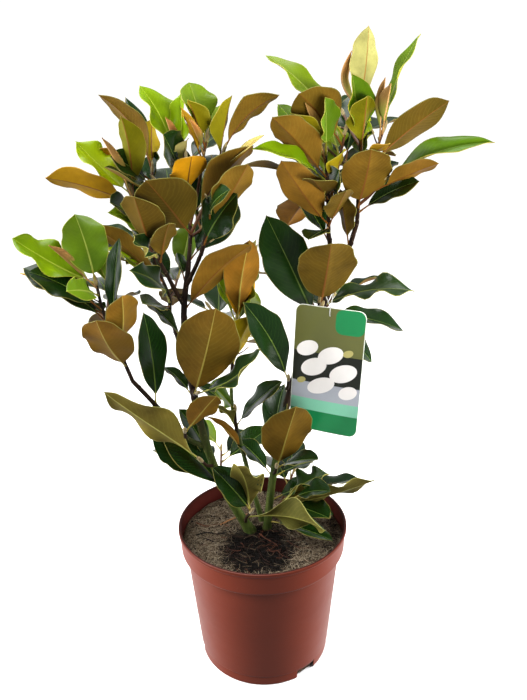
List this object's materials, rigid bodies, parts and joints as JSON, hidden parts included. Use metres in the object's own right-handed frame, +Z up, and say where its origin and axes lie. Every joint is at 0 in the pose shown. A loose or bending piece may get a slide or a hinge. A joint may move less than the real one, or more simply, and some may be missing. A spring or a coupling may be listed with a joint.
{
  "type": "potted magnolia tree",
  "caption": "Young evergreen magnolia with slender stems and broad leaves in a round plastic nursery pot filled with soil, with a hang tag tied to a stem.",
  "frame": {"origin": "centre of the pot's flat underside", "axes": "+Z up along the pot's axis, -Y towards the side with the tag, +X to the tag's side of the stems"},
  "size_m": [0.4942, 0.2502, 0.7397],
  "materials": {
    "pot": "satin",
    "soil": "rough fibrous",
    "tag": "gloss",
    "tie": "matt",
    "bark": "matt",
    "foliage": "leathery, glossy above and felted below"
  },
  "bodies": {
    "root": {"pot": "pot", "root_ball": "soil", "tag": "tag", "tag_tie": "tie", "trunk": "bark", "stem_middle": "bark", "stem_right": "bark", "bough_left": "bark", "bough_rear": "bark", "bough_front": "bark", "bough_fork": "bark", "bough_right_inner": "bark", "bough_right_outer": "bark", "foliage_left": "foliage", "foliage_rear_left": "foliage", "foliage_front_left": "foliage", "foliage_top": "foliage", "foliage_fork": "foliage", "foliage_trunk": "foliage", "foliage_left_foot": "foliage", "foliage_middle": "foliage", "foliage_middle_low": "foliage", "foliage_right_middle": "foliage", "foliage_right_upper": "foliage", "foliage_right_rear": "foliage", "foliage_right_low": "foliage", "foliage_inner_crown": "foliage", "foliage_outer_crown": "foliage", "foliage_low_left": "foliage", "foliage_low_rear": "foliage", "foliage_low_front": "foliage", "foliage_low_right": "foliage"}
  },
  "joints": []
}
